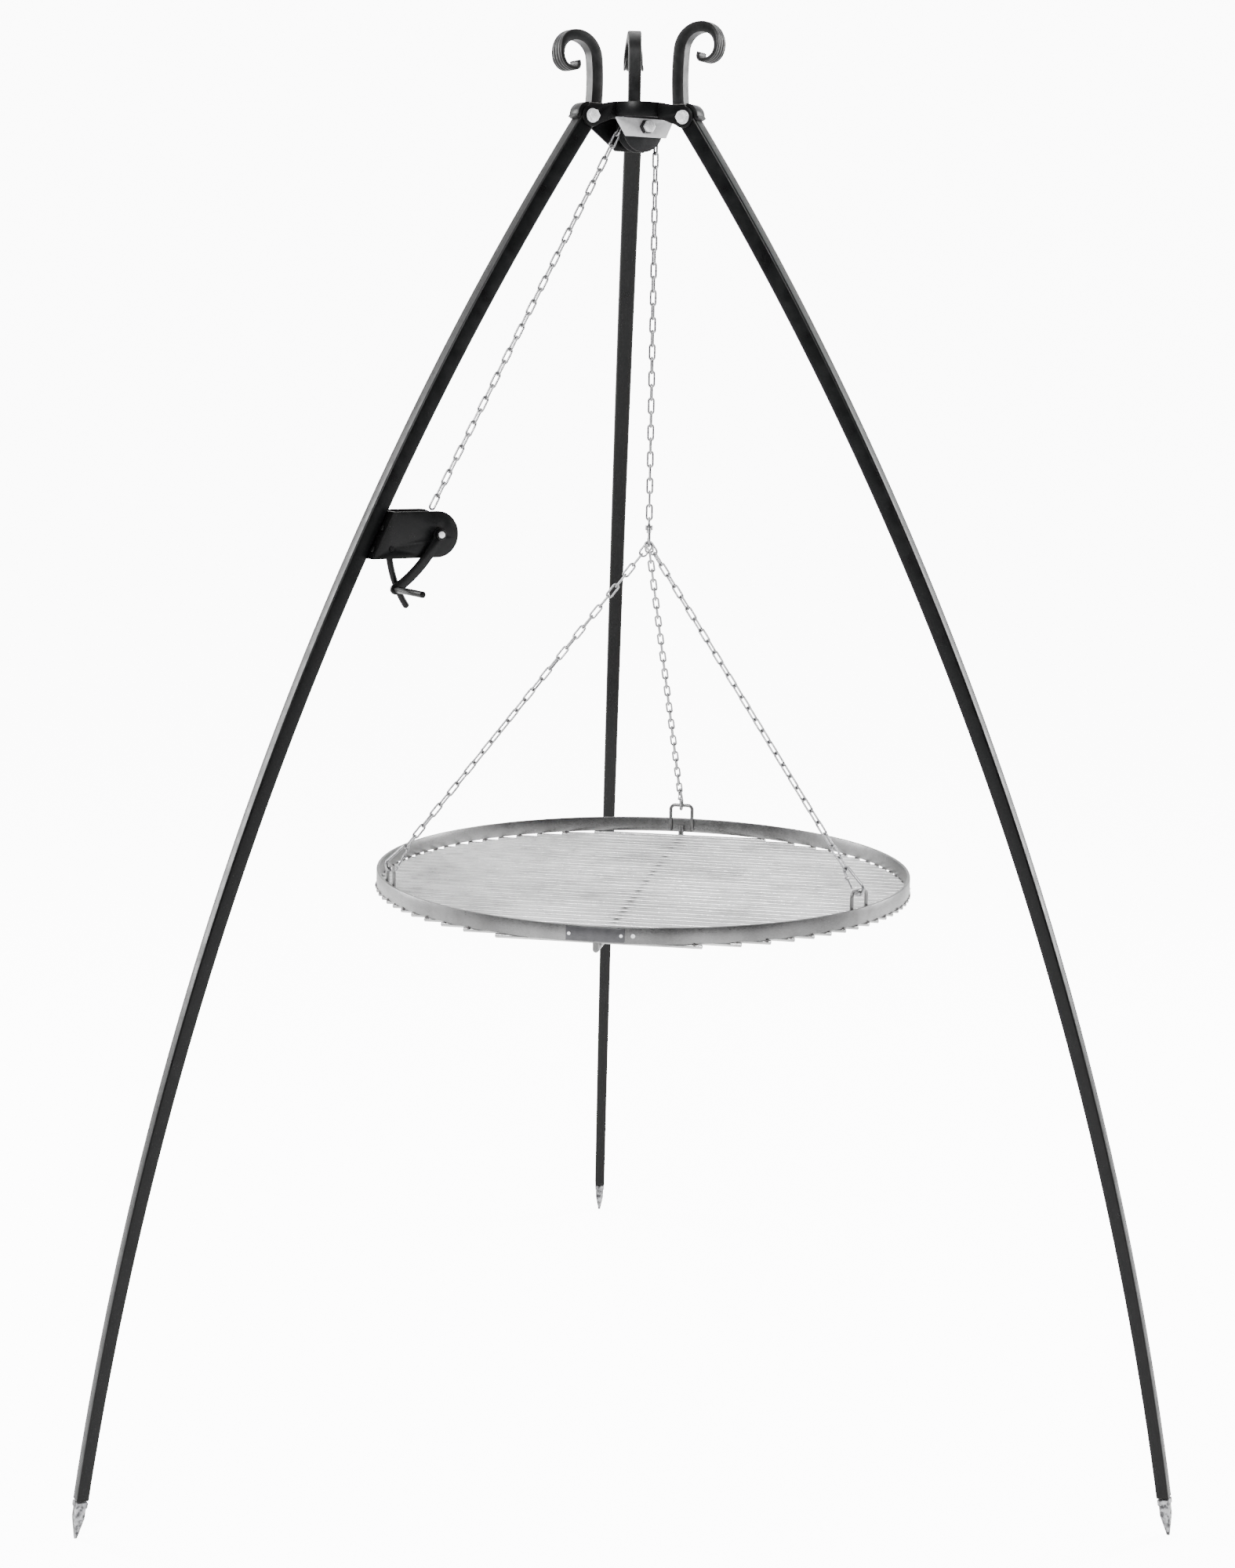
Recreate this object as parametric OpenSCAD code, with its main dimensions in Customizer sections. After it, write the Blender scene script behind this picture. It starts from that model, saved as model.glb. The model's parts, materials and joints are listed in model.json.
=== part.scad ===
// Campfire tripod with a chain winch and a hanging round grate.
// Millimetres. Z up, floor at z = 0, rear leg towards +Y. Each leg lives in its own radial plane (r, z).

/* [Display] */
// Sub-part to show

/* [Legs] */
// Distance of each foot tip from the tripod's axis
foot_r = 765; // [750:5:780]
// Distance of the leg's upper end from the axis
leg_top_r = 70; // [68:1:72]
// Height of the leg's upper end
leg_top_z = 1700; // [1695:1:1705]
// How far the leg bows outwards
leg_bow = 103; // [95:1:110]
// Square tube at the foot, outside
tube_foot = 15; // [14.5:0.5:15.5]
// Square tube at the upper end, outside
tube_top = 22; // [21:0.5:22.5]
// Tube wall
tube_wall = 2; // [1.5:0.5:3]
// Height at which the tube ends above the spike
tube_end_z = 48; // [45:1:50]
// Square bar of the spike
spike = 12; // [11:0.5:13]

/* [Head] */
// Outside radius of the head ring
ring_r = 40; // [39:0.5:41]
// Wall of the head ring
ring_wall = 4; // [3:0.5:4.5]
// Underside of the head ring
ring_z = 1698; // [1698:1:1700]
// Height of the head ring
ring_h = 18; // [16:1:18]
// Pivot bolt shank
pivot_d = 8; // [7:0.5:9]
// Plate thickness of brackets and cheeks
plate = 3; // [2:0.5:3]

/* [Horns] */
// Square bar of the horn at its foot
horn_bar = 16; // [14:0.5:16.5]
// Width of the flattened curl
curl_w = 26; // [22:1:28]
// Thickness of the flattened curl
curl_t = 4.4; // [4:0.2:5]

/* [Chain] */
// Wire of the chain
wire = 2.7; // [2.5:0.1:2.7]
// Outside length of a link
link_l = 22.5; // [22.5:0.1:23]
// Outside width of a link
link_w = 9.5; // [9.4:0.1:9.8]
// Centre distance of neighbouring links
pitch = 16.9; // [16.7:0.1:17]

/* [Grate] */
// Outside radius of the grate
grate_r = 350; // [340:5:350]
// Height of the rim band
rim_h = 20; // [18:1:24]
// Thickness of the rim band
rim_t = 4; // [3:0.5:4]
// Height of the rim's upper edge
grate_z = 745; // [740:1:750]
// Rod diameter
rod_d = 6; // [5:0.5:6.5]
// Rods
rod_n = 33; // [31:2:33]
// Centre distance of the rods
rod_pitch = 20.5; // [20:0.1:20.6]
// How the grate is turned about its chain
grate_turn = -12; // [-20:1:0]

/* [Hidden] */

$fn = 48;
row_y = -190.5;             // brings the middle of the object's box onto the frame's origin
az_rear = 90;
az_left = 210;
az_right = 330;
run = 0.06;                 // radial running clearance of turning pins
side_gap = 0.25;            // side clearance of turning parts
bead = 0.08;                // extra diameter of the round beads that close an elbow

// Radius and centre of the arc from p to q that bulges by sag towards the left of the way from q to p
function arc_radius(p, q, sag) = (pow(norm(q - p), 2) / 4 + sag * sag) / (2 * sag);
function arc_centre(p, q, sag) = (p + q) / 2
    - (arc_radius(p, q, sag) - sag) * [q[1] - p[1], p[0] - q[0]] / norm(q - p);
function angle_of(v) = atan2(v[1], v[0]);

// Leg centreline
foot = [foot_r, 0];
leg_top = [leg_top_r, leg_top_z];
leg_arc_r = arc_radius(foot, leg_top, leg_bow);
leg_c = arc_centre(foot, leg_top, leg_bow);
function leg_angle(z) = asin((z - leg_c[1]) / leg_arc_r);
function leg_r(z) = leg_c[0] + leg_arc_r * cos(leg_angle(z));

pivot_z = 1697;
pivot = [leg_r(pivot_z), pivot_z];
horn_z = 1712;              // the tube is cut level here and carries the horn
ear_t = tube_top / 2 + side_gap;
function tube_at(z) = tube_foot + (tube_top - tube_foot) * z / horn_z;

// Pulley, in the left leg's plane
pulley_c = [-6, 1688];
pulley_chain_r = 24;
pulley_r = 30;
pulley_hub = 17;
pulley_half = 8;
axle_d = 8;
near_t = 10;                // inside face of the cheek on the +t side
far_t = 14.6;                 // inside face of the cheek on the -t side

// Winch, in the left leg's plane
drum_c = [290, 1192];
drum_chain_r = 11;
shaft_d = 8;
house_r = 28;
house_half = 25;
house_plate = 3;
pin_c = [352, 1176];
crank_end = [350, 1128];
crank_t = 28;
crank_plate = 3.5;
handle_l = 70;

// Hanging chain
hang_r = pulley_c[0] - pulley_chain_r;
hang = [hang_r * cos(az_left), hang_r * sin(az_left)];
eye_z = 1199;
eye_r = 4;
eye_wire = 2.6;
hook_wire = 4;
hook_arc = 8;
hook_arc_z = 1175;
first_z = eye_z + eye_r - (eye_wire + wire) / 2 - 0.15 + (link_l - wire) / 2;
main_n = 28;
pulley_n = 5;
winch_n = 32;

// Chain path from the hanging link over the pulley to the drum: [r, z] at length s above the first link
wrap_u = (drum_c - pulley_c) / norm(drum_c - pulley_c);
wrap_k = (pulley_chain_r - drum_chain_r) / norm(drum_c - pulley_c);
wrap_n = wrap_k * wrap_u + sqrt(1 - wrap_k * wrap_k) * [-wrap_u[1], wrap_u[0]];
rise = pulley_c[1] - first_z;
wrap_a = 180 - angle_of(wrap_n);
wrap_l = pulley_chain_r * wrap_a * PI / 180;
slope_d = [wrap_n[1], -wrap_n[0]];
function path(s) = s < rise ? [hang_r, first_z + s]
    : s < rise + wrap_l ? pulley_c + pulley_chain_r * [cos(180 - (s - rise) / wrap_l * wrap_a),
                                                       sin(180 - (s - rise) / wrap_l * wrap_a)]
    : pulley_c + pulley_chain_r * wrap_n + (s - rise - wrap_l) * slope_d;

// Grate and its slings
lug_r = grate_r - rim_t - 3.2;
lug_wire = 5;
lug_half = 15.5;
lug_bar_z = grate_z + 20;
sling_at = [5.6, 0, -5.6];      // where each sling hangs along the hook's arc: rear, left, right
sling_az = [90 + grate_turn, 210 + grate_turn, 330 + grate_turn];
sling_links = 29;
snap_l = 42;
snap_eye = 4;
snap_arc = 8;
snap_wire = 4;
grip = (snap_wire + wire) / 2 + 0.1;

// Horn centreline: a nearly straight stem of the given length, then arcs of [radius, sweep] turning outwards
horn_start = [62, horn_z];
horn_heading = 96;
stem_bend = 12;
stem_rear = 71;
stem_left = 54.5;
stem_right = 67;
curl_arcs = [[28.6, 94], [22, 100], [16.5, 80], [6.6, 110]];
horn_steps = [5, 10, 10, 8, 9];
horn_t = [horn_bar, horn_bar, 0.78 * horn_bar, curl_t + 0.6, curl_t, 0.75 * curl_t];
horn_w = [horn_bar, horn_bar, 1.1 * horn_bar, curl_w - 1, curl_w, curl_w - 4];
groove = 0.9;
function horn_arc(i, stem) = i == 0 ? [stem * 180 / (PI * stem_bend), stem_bend] : curl_arcs[i - 1];
function heading(i) = i == 0 ? horn_heading : heading(i - 1) - horn_arc(i - 1, 1)[1];
function right_of(h) = [sin(h), -cos(h)];
function horn_from(i, stem) = i == 0 ? horn_start : horn_point(i - 1, 1, stem);
function horn_point(i, u, stem) = horn_from(i, stem)
    + horn_arc(i, stem)[0] * (right_of(heading(i)) - right_of(heading(i) - u * horn_arc(i, stem)[1]));
function ease(u) = u * u * (3 - 2 * u);
function mix(a, b, u) = a + (b - a) * u;

// ---- placing helpers ----

// Draws in the radial plane of a leg: x is r, y is height, and the extrusion runs along -t
module radial(az) {
    rotate([0, 0, az]) rotate([90, 0, 0]) children();
}

// A plate or cylinder lying between t0 and t1 of a radial plane
module span(t0, t1) {
    translate([0, 0, -t1]) linear_extrude(t1 - t0) children();
}

// Local x along s, local z along n
module frame_at(o, s, n) {
    y = cross(n, s);
    multmatrix([[s[0], y[0], n[0], o[0]], [s[1], y[1], n[1], o[1]], [s[2], y[2], n[2], o[2]]]) children();
}

module bar_between(a, b, d) {
    v = b - a;
    translate(a) rotate([0, acos(v[2] / norm(v)), atan2(v[1], v[0])]) cylinder(d = d, h = norm(v));
}

module hex_solid(across, h) {
    cylinder(d = across / cos(30), h = h, $fn = 6);
}

function unit(v) = v / norm(v);
function at_az(az, r, z) = [r * cos(az), r * sin(az), z];

// ---- chain ----

module chain_link(width) {
    bend = (width - wire) / 2;
    half = (link_l - width) / 2;
    for (side = [-1, 1]) {
        translate([-half, side * bend, 0]) rotate([0, 90, 0]) cylinder(d = wire, h = 2 * half);
    }
    for (end = [0, 180]) {
        rotate(end) translate([half, 0, 0]) rotate(-90)
            rotate_extrude(angle = 180) translate([bend, 0]) circle(d = wire);
    }
}

// Links k0 to k1 of the chain that runs over the pulley; every second link is turned a quarter
module path_links(k0, k1) {
    radial(az_left)
        for (k = [k0 : k1]) {
            a = path((k - 0.5) * pitch);
            b = path((k + 0.5) * pitch);
            twist = k < main_n ? -30 * (1 - k / main_n) : 0;
            translate([(a[0] + b[0]) / 2, (a[1] + b[1]) / 2, 0]) rotate(angle_of(b - a))
                rotate([(k % 2) * 90 + twist, 0, 0]) chain_link(link_w);
        }
}

// ---- head ----

module head_ring() {
    color("#1b1b1b") translate([0, 0, ring_z]) difference() {
        cylinder(r = ring_r, h = ring_h, $fn = 96);
        translate([0, 0, -1]) cylinder(r = ring_r - ring_wall, h = ring_h + 2, $fn = 96);
    }
}

// Two ears that hold one leg between them
module bracket(az) {
    color("#1b1b1b") radial(az) for (t0 = [-ear_t - plate, ear_t]) {
        difference() {
            span(t0, t0 + plate) difference() {
                union() {
                    translate(pivot) circle(r = 13);
                    polygon([[36, ring_z], [36, ring_z + ring_h], [pivot[0], pivot_z + 13],
                             [pivot[0], pivot_z - 13]]);
                }
                translate(pivot) circle(d = pivot_d + 0.1);
            }
            rotate([-90, 0, 0]) cylinder(r = ring_r, h = 4000, $fn = 96);
        }
    }
}
module bracket_left() bracket(az_left);
module bracket_right() bracket(az_right);
module bracket_rear() bracket(az_rear);

module cheek_near() {
    color("#9a9ca0") radial(az_left) span(near_t, near_t + plate) difference() {
        polygon([[-48, ring_z], [37.5, ring_z], [22, 1676], [-37, 1676]]);
        translate(pulley_c) circle(d = axle_d + 0.1);
    }
}

module cheek_far() {
    color("#1b1b1b") radial(az_left) span(-far_t - plate, -far_t) difference() {
        polygon([[-46, ring_z], [44, ring_z], [56, 1689], [55, 1684], [20, 1659], [-22, 1659], [-46, 1690]]);
        translate(pulley_c) circle(d = axle_d + 0.1);
    }
}

module pulley_axle() {
    color("#b9bcc0") radial(az_left) translate(pulley_c) {
        translate([0, 0, -near_t - plate - 6.5]) cylinder(d = axle_d, h = near_t + far_t + 2 * plate + 15);
        translate([0, 0, -near_t - plate - 12]) hex_solid(13, 5.5);
    }
}

module pulley_nuts() {
    color("#151515") radial(az_left) translate(pulley_c)
        for (z = [-near_t - plate - 6.5, far_t + plate]) {
            translate([0, 0, z]) difference() {
                hex_solid(15, 6.5);
                translate([0, 0, -1]) cylinder(d = axle_d, h = 9);
            }
        }
}

module pulley_wheel() {
    flange = 2;
    color("#141414") radial(az_left) translate(pulley_c) difference() {
        union() {
            translate([0, 0, -pulley_half]) cylinder(r = pulley_hub, h = 2 * pulley_half);
            for (z = [-pulley_half, pulley_half - flange]) {
                translate([0, 0, z]) cylinder(r = pulley_r, h = flange);
            }
            translate([0, 0, -near_t + side_gap]) cylinder(r = 8, h = near_t + far_t - 2 * side_gap);
        }
        translate([0, 0, -20]) cylinder(d = axle_d + 2 * run, h = 40);
    }
}

module pulley_chain() {
    color("#c8cace") path_links(main_n, main_n + pulley_n - 1);
}

module pivot_bolts() {
    half = ear_t + plate;
    color("#c4c7cb") for (az = [az_rear, az_left, az_right]) {
        near = az == az_right ? 1 : -1;
        radial(az) translate(pivot) {
            translate([0, 0, -half - 7]) cylinder(d = pivot_d, h = 2 * half + 14);
            translate([0, 0, near > 0 ? half + 1.5 : -half - 7]) hex_solid(13, 5.5);
        }
    }
}

module pivot_nuts() {
    half = ear_t + plate;
    color("#c4c7cb") for (az = [az_rear, az_left, az_right]) {
        near = az == az_right ? 1 : -1;
        radial(az) translate(pivot) {
            translate([0, 0, near > 0 ? -half - 6 : half]) difference() {
                hex_solid(13, 6);
                translate([0, 0, -1]) cylinder(d = pivot_d, h = 8);
            }
            translate([0, 0, near > 0 ? half : -half - 1.5]) difference() {
                cylinder(d = 17, h = 1.5);
                translate([0, 0, -1]) cylinder(d = pivot_d, h = 4);
            }
        }
    }
}

// ---- legs ----

// Edge of the leg profile: ends, sag, radius and centre. share is 1 on the outside, -1 on the inside
function edge_end(z, share) = [leg_r(z), z] + share * tube_at(z) / 2 * [cos(leg_angle(z)), sin(leg_angle(z))];
function edge_mid(share) = edge_end(horn_z / 2, share);
function edge_sag(share) =
    let (p = edge_end(0, share), q = edge_end(horn_z, share), m = edge_mid(share) - p)
    abs((q[0] - p[0]) * m[1] - (q[1] - p[1]) * m[0]) / norm(q - p);
function edge_r(share) = arc_radius(edge_end(0, share), edge_end(horn_z, share), edge_sag(share));
function edge_c(share) = arc_centre(edge_end(0, share), edge_end(horn_z, share), edge_sag(share));

// The bowed, tapered leg as a solid, with its faces moved in by inset, between two heights
module leg_bar(z0, z1, inset) {
    intersection() {
        linear_extrude(2 * tube_top, center = true) difference() {
            translate(edge_c(1)) circle(r = edge_r(1) - inset, $fn = 720);
            translate(edge_c(-1)) circle(r = edge_r(-1) + inset, $fn = 720);
        }
        rotate([0, 90, 0]) linear_extrude(foot_r + 60)
            polygon([for (c = [[-1, z0], [1, z0], [1, z1], [-1, z1]])
                         [c[0] * (tube_at(c[1]) / 2 - inset), c[1]]]);
    }
}

module leg_tube(az) {
    color("#161616") radial(az) difference() {
        leg_bar(tube_end_z, horn_z, 0);
        leg_bar(tube_end_z - 2, horn_z - 7, tube_wall);
        translate([pivot[0], pivot[1], -20]) cylinder(d = pivot_d + 2 * run, h = 40);
    }
}
module leg_left_tube() leg_tube(az_left);
module leg_right_tube() leg_tube(az_right);
module leg_rear_tube() leg_tube(az_rear);

// Section of the horn at fraction u of arc i: grooved outside face, plain inside face
function horn_section(i, u, stem) =
    let (c = horn_point(i, u, stem),
         n = i + u == 0 ? [1, 0] : right_of(heading(i) - u * horn_arc(i, stem)[1]),
         t = mix(horn_t[i], horn_t[i + 1], ease(u)),
         w = mix(horn_w[i], horn_w[i + 1], ease(u)),
         flat = max(0, (w - 1.1 * horn_bar) / (curl_w - 1.1 * horn_bar)))
    concat([for (g = [0 : 8])
               let (a = -t / 2 + (g % 2) * groove * flat)
               [c[0] + a * n[0], c[1] + a * n[1], -w / 2 + w * g / 8]],
           [for (side = [1, -1]) [c[0] + t / 2 * n[0], c[1] + t / 2 * n[1], side * w / 2]]);

module horn(az, stem) {
    sections = [for (i = [0 : 4]) for (j = [0 : horn_steps[i] - (i < 4 ? 1 : 0)])
                    horn_section(i, j / horn_steps[i], stem)];
    m = len(sections[0]);
    last = len(sections) - 1;
    points = [for (s = sections) for (p = s) p];
    sides = [for (i = [0 : last - 1]) for (j = [0 : m - 1])
                 let (k = (j + 1) % m) for (f = [[i * m + j, (i + 1) * m + k, i * m + k],
                                                 [i * m + j, (i + 1) * m + j, (i + 1) * m + k]]) f];
    ends = [[for (j = [0 : m - 1]) j], [for (j = [m - 1 : -1 : 0]) last * m + j]];
    color("#262626") radial(az) polyhedron(points, concat(sides, ends));
}
module horn_left() horn(az_left, stem_left);
module horn_right() horn(az_right, stem_right);
module horn_rear() horn(az_rear, stem_rear);

// Rounded shoulder welded behind the leg's upper end
module shoulder(az) {
    lean = leg_angle(pivot_z);
    face = tube_at(pivot_z) / 2 + 0.1;
    color("#161616") radial(az) span(-face + 0.2, face - 0.2) difference() {
        union() {
            translate([pivot[0] + 3.5, pivot_z + 2]) circle(r = 14.5);
            translate(pivot) rotate(lean) translate([face - 1, -12]) square([6, 6]);
        }
        translate(pivot) rotate(lean) translate([-60, -60]) square([60 + face, 120]);
        translate([0, horn_z - 0.05]) square([horn_start[0] + horn_bar / 2 + 1, 40]);
        translate(pivot) rotate(lean) translate([-10, -72]) square([60, 60]);
    }
}
module cap_left() shoulder(az_left);
module cap_right() shoulder(az_right);
module cap_rear() shoulder(az_rear);

module spike_profile() {
    tip = 1.6;
    collar = tube_foot / 2 - 0.3;
    top = tube_end_z / cos(leg_angle(0)) - 2.4;
    linear_extrude(2 * tube_foot, center = true)
        polygon([[-tip, -2], [tip, -2], [tip, 0], [spike / 2, 26], [spike / 2, 38], [collar, 40],
                 [collar, top], [-collar, top], [-collar, 40], [-spike / 2, 38], [-spike / 2, 26],
                 [-tip, 0]]);
}

module foot_spike(az) {
    color("#8f9093") radial(az) difference() {
        translate(foot) rotate(leg_angle(0)) intersection() {
            spike_profile();
            rotate([0, 90, 0]) spike_profile();
        }
        translate([foot_r - 30, -20, -30]) cube([60, 20, 60]);
    }
}
module spike_left() foot_spike(az_left);
module spike_right() foot_spike(az_right);
module spike_rear() foot_spike(az_rear);

// ---- winch ----

lean_w = leg_angle(drum_c[1]);
face_w = [leg_r(drum_c[1]), drum_c[1]] - (tube_at(drum_c[1]) / 2 + 0.45) * [cos(lean_w), sin(lean_w)];

module winch_housing() {
    color("#191919") radial(az_left) {
        for (t0 = [-house_half, house_half - house_plate]) {
            span(t0, t0 + house_plate) difference() {
                union() {
                    translate(drum_c) circle(r = house_r);
                    translate([drum_c[0], drum_c[1] - house_r]) square([100, 2 * house_r]);
                }
                translate(face_w) rotate(lean_w) translate([0, -80]) square([120, 160]);
                translate(drum_c) circle(d = shaft_d + 2 * run);
                translate(pin_c) circle(d = 6);
            }
        }
        span(-house_half + house_plate, house_half - house_plate) intersection() {
            translate(face_w) rotate(lean_w) translate([-house_plate, -50]) square([house_plate, 100]);
            translate([drum_c[0], drum_c[1] - house_r]) square([100, 2 * house_r]);
        }
    }
}

module winch_screws() {
    color("#1b1b1b") radial(az_left) translate([face_w[0], face_w[1], 0]) rotate(lean_w)
        for (side = [-1, 1]) for (along = [-14, 14]) {
            translate([0, along, side * 16]) rotate([0, 90, 0]) cylinder(d = 7, h = 3);
        }
}

module lock_pin() {
    color("#1b1b1b") radial(az_left) translate([pin_c[0], pin_c[1], -house_half - 1])
        cylinder(d = 6, h = 2 * house_half + 2);
}

// Round bar bent in one gentle arc, swinging about the lock pin
module lock_lever() {
    t = 16;
    tip = [329, 1107];
    r = arc_radius(tip, pin_c, 5);
    c = arc_centre(tip, pin_c, 5);
    a0 = angle_of(tip - c);
    color("#161616") radial(az_left) translate([0, 0, -t]) difference() {
        union() {
            translate([pin_c[0], pin_c[1], -5]) cylinder(d = 12, h = 10);
            translate(c) rotate(a0) rotate_extrude(angle = angle_of(pin_c - c) - a0, $fn = 240)
                translate([r, 0]) circle(d = 8);
            translate(tip) sphere(d = 8 + bead);
        }
        translate([pin_c[0], pin_c[1], -40]) cylinder(d = 6 + 2 * run, h = 80);
    }
}

module winch_axle() {
    color("#c4c7cb") radial(az_left) translate([drum_c[0], drum_c[1], -crank_t - crank_plate - 5])
        cylinder(d = shaft_d, h = crank_t + crank_plate + 5 + house_half + 4);
}

module drum() {
    inner = house_half - house_plate - side_gap;
    color("#2a2a2a") radial(az_left) translate(drum_c) difference() {
        union() {
            translate([0, 0, -inner]) cylinder(r = 7, h = 2 * inner);
            for (z = [-inner, inner - 1.5]) {
                translate([0, 0, z]) cylinder(r = 22, h = 1.5);
            }
        }
        translate([0, 0, -inner - 1]) cylinder(d = shaft_d, h = 2 * inner + 2);
    }
}

module wound_chain() {
    per_turn = 5;
    color("#c8cace") radial(az_left) translate(drum_c)
        for (row = [-1 : 1]) for (k = [0 : per_turn - 1]) {
            rotate(k * 360 / per_turn + row * 24) translate([15, 0, row * 12]) rotate(90)
                rotate([45 + 90 * (k % 2), 0, 0]) chain_link(link_w);
        }
}

// Flat bar, slightly curved, from the shaft to the handle
module crank_arm() {
    r = arc_radius(drum_c, crank_end, 6);
    c = arc_centre(drum_c, crank_end, 6);
    a0 = angle_of(drum_c - c);
    a1 = angle_of(crank_end - c);
    color("#161616") radial(az_left) translate([0, 0, -crank_t - crank_plate]) difference() {
        union() {
            translate(c) rotate(min(a0, a1)) rotate_extrude(angle = abs(a1 - a0), $fn = 360)
                translate([r - 6, 0]) square([12, crank_plate]);
            translate(drum_c) cylinder(r = 8.5, h = crank_plate);
            translate(crank_end) cylinder(r = 6.4, h = crank_plate);
        }
        translate([drum_c[0], drum_c[1], -1]) cylinder(d = shaft_d, h = 6);
    }
}

module crank_handle() {
    color("#161616") radial(az_left)
        translate([crank_end[0], crank_end[1], -crank_t - crank_plate - handle_l])
            cylinder(d = 8, h = handle_l);
}

module axle_collar() {
    color("#161616") radial(az_left) translate([drum_c[0], drum_c[1], -crank_t - crank_plate - 3.5])
        difference() {
            cylinder(d = 13, h = 3.5);
            translate([0, 0, -1]) cylinder(d = shaft_d, h = 6);
        }
}

module winch_chain() {
    color("#c8cace") path_links(main_n + pulley_n, main_n + pulley_n + winch_n - 1);
}

// ---- hanging chain and top hook ----

module main_chain() {
    color("#c8cace") path_links(0, main_n - 1);
}

module swivel_eye() {
    color("#c8cace") translate([hang[0], hang[1], eye_z]) {
        rotate([0, 90, 0]) rotate_extrude() translate([eye_r, 0]) circle(d = eye_wire);
        translate([0, 0, -12.5]) cylinder(d = 4, h = 12.5 - eye_r);
        translate([0, 0, -14.2]) cylinder(d = 6.4, h = 1.9);
    }
}

// Pear-shaped loop in the local yz plane around the arc's centre, open on the +y side for the gate
module pear(top_y, top_z, arc, d) {
    low = [0, -arc, 0];
    bar_between(low, [0, -top_y, top_z], d);
    rotate([90, 0, 90]) rotate(180) rotate_extrude(angle = 180) translate([arc, 0]) circle(d = d);
    translate(low) sphere(d = d + bead);
    translate([0, arc, 0]) sphere(d = d + bead);
}

// Gate of a hook: a bar from its pin to the nose, hanging in the local yz plane
module gate_bar(pin, nose, d) {
    stop = nose + unit(pin - nose) * (d / 2 + 1.9);
    difference() {
        union() {
            bar_between(pin, stop, d * 0.65);
            translate(pin) rotate([0, 90, 0]) cylinder(d = d, h = 2.2, center = true);
        }
        translate(pin) rotate([0, 90, 0]) cylinder(d = 1.6 + 2 * run, h = 8, center = true);
    }
}

module gate_ears(pin, d) {
    for (side = [-1, 1]) {
        translate(pin + [side * 2.2, 0, 0]) rotate([0, 90, 0]) cylinder(d = d, h = 1.4, center = true);
    }
    translate(pin) rotate([0, 90, 0]) cylinder(d = 1.6, h = 5.8, center = true);
}

top_pin = [0, 5.6, 9.9];

module top_hook() {
    color("#b4b7bb") translate([hang[0], hang[1], hook_arc_z]) {
        pear(4.6, 15.5, hook_arc, hook_wire);
        difference() {
            union() {
                translate([0, 0, 12.2]) cylinder(d = 10, h = 6);
                gate_ears(top_pin, hook_wire);
                for (side = [-1, 1]) {
                    bar_between(top_pin + [side * 2.2, 0, 0], [side * 2.2, 3.2, 14.6], 1.4);
                }
            }
            cylinder(d = 4 + 2 * run, h = 30);
            cylinder(d = 7.4, h = 12.2);
        }
    }
}

module top_gate() {
    color("#b4b7bb") translate([hang[0], hang[1], hook_arc_z]) gate_bar(top_pin, [0, hook_arc, 0], hook_wire);
}

// ---- slings ----

// Where sling i hangs on the hook's arc, its bar on the grate, and its direction
function sling_top(i) = [hang[0], hang[1] + sling_at[i],
                         hook_arc_z - sqrt(hook_arc * hook_arc - pow(sling_at[i], 2))];
function sling_bar(i) = [hang[0], hang[1], 0] + at_az(sling_az[i], lug_r, lug_bar_z);
function sling_dir(i) = unit(sling_bar(i) - sling_top(i));
function sling_side(i) = [-sin(sling_az[i]), cos(sling_az[i]), 0];
function level(n, s) = unit(n - (n * s) * s);
snap_reach = snap_l - snap_wire - 2 * grip - 0.9;

module sling(i) {
    p = sling_top(i);
    s = sling_dir(i);
    wire_dir = unit([0, hook_arc_z - p[2], sling_at[i]]);
    n = level(wire_dir, s);
    l = norm(sling_bar(i) - p);
    first = -(hook_wire + wire) / 2 - 0.35 + (link_l - wire) / 2;
    last = l - snap_reach - (link_l - wire) / 2;
    step = (last - first) / (sling_links - 1);
    side = level(sling_side(i), s);
    color("#c8cace") for (k = [0 : sling_links - 1]) {
        left = sling_links - 1 - k;
        turned = (k % 2 == 0) ? n : cross(s, n);
        facing = left % 2 == 0 ? cross(s, side) : side;
        normal = k == 0 ? n : unit(turned * sign(turned * facing) * left + facing * k);
        frame_at(p + s * (first + k * step), s, normal) chain_link(k == 0 ? 12 : link_w);
    }
}
module sling_rear() sling(0);
module sling_left() sling(1);
module sling_right() sling(2);

// Local frame of a snap hook: origin at the lower arc's centre, z back along the sling, y across
module snap_frame(i) {
    s = sling_dir(i);
    side = level(sling_side(i), s);
    o = sling_bar(i) - s * (snap_arc - (snap_wire + lug_wire) / 2 - 0.1);
    y = cross(-s, side);
    multmatrix([[side[0], y[0], -s[0], o[0]],
                [side[1], y[1], -s[1], o[1]],
                [side[2], y[2], -s[2], o[2]]]) children();
}

snap_len = snap_l - snap_wire - snap_arc - snap_eye;
snap_pin = [0, 5.4, snap_len - 8];

module snap_hook(i) {
    color("#b4b7bb") snap_frame(i) {
        pear(snap_eye, snap_len, snap_arc, snap_wire);
        translate([0, 0, snap_len]) rotate([90, 0, 90]) rotate_extrude(angle = 180)
            translate([snap_eye, 0]) circle(d = snap_wire);
        for (side = [-1, 1]) {
            translate([0, side * snap_eye, snap_len]) sphere(d = snap_wire + bead);
        }
        gate_ears(snap_pin, snap_wire);
        for (side = [-1, 1]) {
            bar_between(snap_pin + [side * 2.2, 0, 0], [side * 1.2, snap_eye, snap_len - 1], 1.4);
        }
    }
}
module snap_rear() snap_hook(0);
module snap_left() snap_hook(1);
module snap_right() snap_hook(2);

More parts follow.
